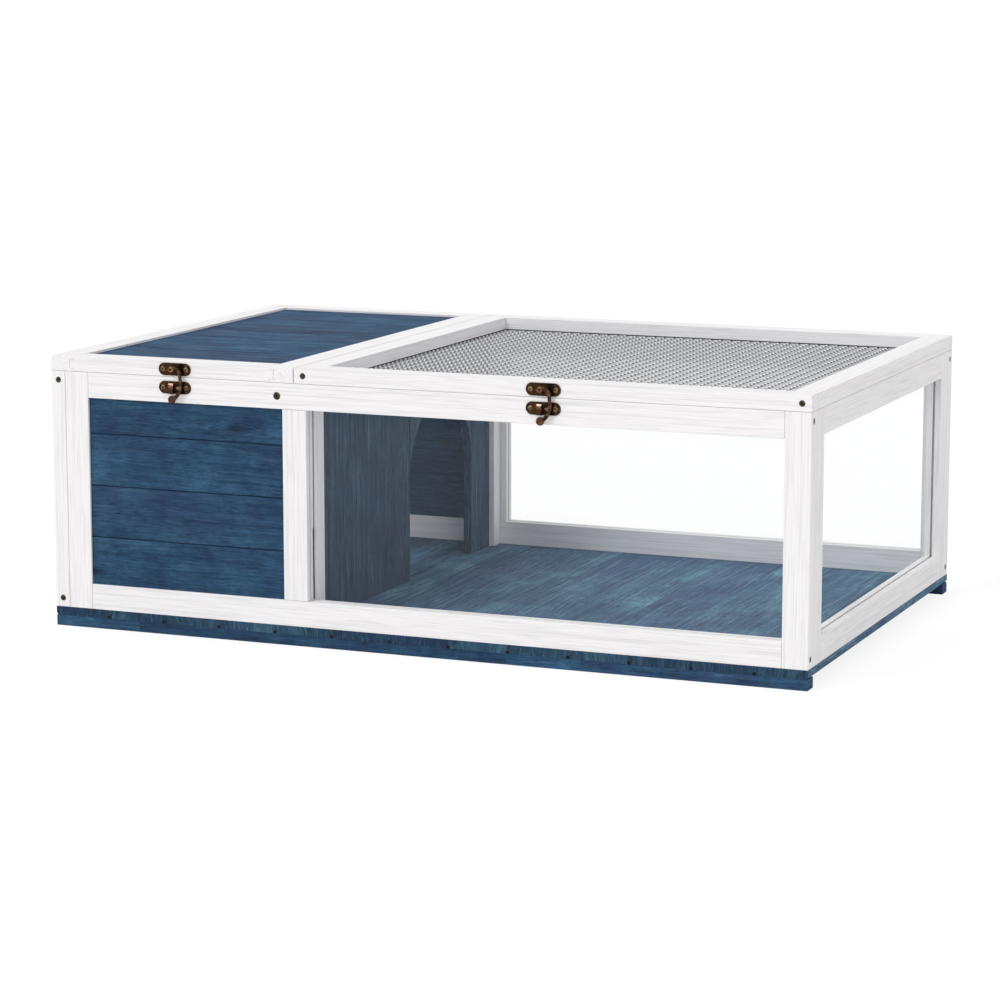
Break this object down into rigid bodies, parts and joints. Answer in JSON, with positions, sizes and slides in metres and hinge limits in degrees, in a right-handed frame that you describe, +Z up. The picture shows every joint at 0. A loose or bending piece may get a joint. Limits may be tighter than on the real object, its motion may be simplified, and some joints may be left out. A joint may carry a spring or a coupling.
{
  "type": "tortoise house",
  "caption": "Low wooden tortoise house: a planked hide under a solid hinged lid, joined by an arched doorway to a clear-sided run under a hinged wire-mesh lid, on two floor runners.",
  "frame": {"origin": "middle of the footprint, on the ground under the runners", "axes": "+X along the house from the hide at the left to the run at the right, -Y out of the front with the two latches, +Z up"},
  "size_m": [0.92, 0.6032, 0.32],
  "materials": {
    "white_wood": "white paint on softwood, satin, with faint grain",
    "blue_wood": "slate-blue stain on knotty softwood, matt",
    "clear_plastic": "clear acrylic sheet, glossy",
    "bronzed_metal": "antique bronze, worn, satin",
    "brass_screws": "dulled brass",
    "galvanised_wire": "galvanised, dull"
  },
  "bodies": {
    "house": {"front_runner": "blue_wood", "rear_runner": "blue_wood", "floor_boards": "blue_wood", "front_left_stile": "white_wood", "front_middle_stile": "white_wood", "front_right_stile": "white_wood", "front_top_rail": "white_wood", "front_bottom_rail": "white_wood", "rear_left_stile": "white_wood", "rear_middle_stile": "white_wood", "rear_right_stile": "white_wood", "rear_top_rail": "white_wood", "rear_bottom_rail": "white_wood", "left_front_stile": "white_wood", "left_rear_stile": "white_wood", "left_top_rail": "white_wood", "left_bottom_rail": "white_wood", "right_front_stile": "white_wood", "right_rear_stile": "white_wood", "right_top_rail": "white_wood", "right_bottom_rail": "white_wood", "cross_rail": "white_wood", "front_planks": "blue_wood", "rear_planks": "blue_wood", "left_planks": "blue_wood", "front_pane": "clear_plastic", "rear_pane": "clear_plastic", "right_pane": "clear_plastic", "divider_front_board": "blue_wood", "divider_arch_board": "blue_wood", "divider_rear_board": "blue_wood", "divider_battens": "white_wood", "hide_catch": "bronzed_metal", "run_catch": "bronzed_metal", "frame_hinge_leaves": "bronzed_metal", "hinge_pins": "brass_screws", "frame_screws": "brass_screws", "house_small_screws": "brass_screws"},
    "hide_lid": {"hide_lid_left_side": "white_wood", "hide_lid_right_side": "white_wood", "hide_lid_front_rail": "white_wood", "hide_lid_rear_rail": "white_wood", "hide_lid_planks": "blue_wood", "hide_lid_hinge_leaves": "bronzed_metal", "hide_latch_plate": "bronzed_metal", "hide_latch_rivet": "bronzed_metal", "hide_lid_small_screws": "brass_screws"},
    "run_lid": {"run_lid_front_rail": "white_wood", "run_lid_rear_rail": "white_wood", "run_lid_left_side": "white_wood", "run_lid_right_side": "white_wood", "wire_mesh": "galvanised_wire", "mesh_staples": "galvanised_wire", "run_lid_hinge_leaves": "bronzed_metal", "run_latch_plate": "bronzed_metal", "run_latch_rivet": "bronzed_metal", "run_lid_small_screws": "brass_screws", "run_lid_screws": "brass_screws"},
    "hide_hook": {"hide_latch_hook": "bronzed_metal"},
    "run_hook": {"run_latch_hook": "bronzed_metal"}
  },
  "joints": [
    {"name": "hide_lid_hinge", "type": "hinge", "parent": "house", "child": "hide_lid", "pos_m": [-0.3042, 0.2985, 0.302], "axis": [-1, 0, 0], "range_deg": [0, 180]},
    {"name": "run_lid_hinge", "type": "hinge", "parent": "house", "child": "run_lid", "pos_m": [0.1562, 0.2985, 0.302], "axis": [-1, 0, 0], "range_deg": [0, 180]},
    {"name": "hide_hook_pivot", "type": "hinge", "parent": "hide_lid", "child": "hide_hook", "pos_m": [-0.3005, -0.2997, 0.311], "axis": [0, -1, 0], "range_deg": [0, 110]},
    {"name": "run_hook_pivot", "type": "hinge", "parent": "run_lid", "child": "run_hook", "pos_m": [0.1524, -0.2997, 0.311], "axis": [0, -1, 0], "range_deg": [0, 110]}
  ]
}
